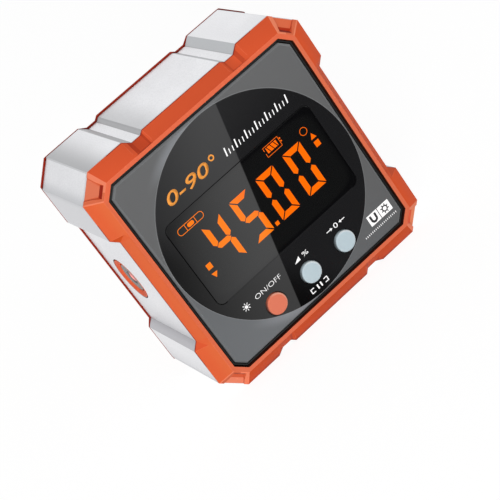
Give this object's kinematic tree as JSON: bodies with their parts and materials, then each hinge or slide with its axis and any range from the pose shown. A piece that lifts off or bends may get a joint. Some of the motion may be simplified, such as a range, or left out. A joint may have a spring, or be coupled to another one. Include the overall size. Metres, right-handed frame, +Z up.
{
  "type": "digital angle gauge",
  "caption": "Square digital angle gauge: a grooved aluminium frame between faceted plastic covers, with a dark display in a round face, push buttons and a laser light in either side.",
  "frame": {"origin": "middle of the flat base, half way through the depth", "axes": "+X to the right as seen by the reader of the display, +Y from the face to the back, +Z up"},
  "size_m": [0.06, 0.0305, 0.06],
  "materials": {
    "aluminium": "satin milled",
    "orange_plastic": "fine moulded texture",
    "panel_print": "satin print with a raised gloss disc",
    "dark_window": "polished",
    "black_rubber": "matt",
    "button_orange": "satin",
    "blue_grey_plastic": "satin",
    "glass": "polished",
    "white_plastic": "plain",
    "board_green": "solder mask",
    "chip_black": "plain",
    "steel": "plain",
    "nickel": "nickel plated",
    "battery_film": "foil pouch",
    "foam": "soft foam",
    "laser_grey": "satin grey",
    "lens_red": "polished"
  },
  "bodies": {
    "case": {"frame_body": "aluminium", "front_bezel": "orange_plastic", "rear_cover": "orange_plastic", "laser_ring_left": "orange_plastic", "laser_ring_right": "orange_plastic", "face_panel": "panel_print", "display_window": "dark_window", "panel_gasket": "black_rubber", "lcd_contact_strip": "black_rubber", "lcd_glass": "glass", "lcd_backlight": "white_plastic", "lcd_frame": "white_plastic", "battery_connector": "white_plastic", "main_board": "board_green", "processor_chip": "chip_black", "tilt_sensor": "chip_black", "power_switch": "chip_black", "hold_switch": "chip_black", "zero_switch": "chip_black", "board_screw_1": "steel", "board_screw_2": "steel", "board_screw_3": "steel", "rear_screw_1": "steel", "rear_screw_2": "steel", "rear_screw_3": "steel", "rear_screw_4": "steel", "usb_socket": "nickel", "magnet_1": "nickel", "magnet_2": "nickel", "magnet_3": "nickel", "magnet_4": "nickel", "magnet_5": "nickel", "magnet_6": "nickel", "magnet_7": "nickel", "magnet_8": "nickel", "battery_cell": "battery_film", "battery_pad": "foam", "laser_module_left": "laser_grey", "laser_module_right": "laser_grey", "laser_lens_left": "lens_red", "laser_lens_right": "lens_red"},
    "power_key": {"power_button": "button_orange"},
    "hold_key": {"hold_button": "blue_grey_plastic"},
    "zero_key": {"zero_button": "blue_grey_plastic"}
  },
  "joints": [
    {"name": "power_push", "type": "slide", "parent": "case", "child": "power_key", "axis": [0, 1, 0], "range_m": [0, 0.0005], "stiffness_N_per_m": 200},
    {"name": "hold_push", "type": "slide", "parent": "case", "child": "hold_key", "axis": [0, 1, 0], "range_m": [0, 0.0005], "stiffness_N_per_m": 200},
    {"name": "zero_push", "type": "slide", "parent": "case", "child": "zero_key", "axis": [0, 1, 0], "range_m": [0, 0.0005], "stiffness_N_per_m": 200}
  ]
}
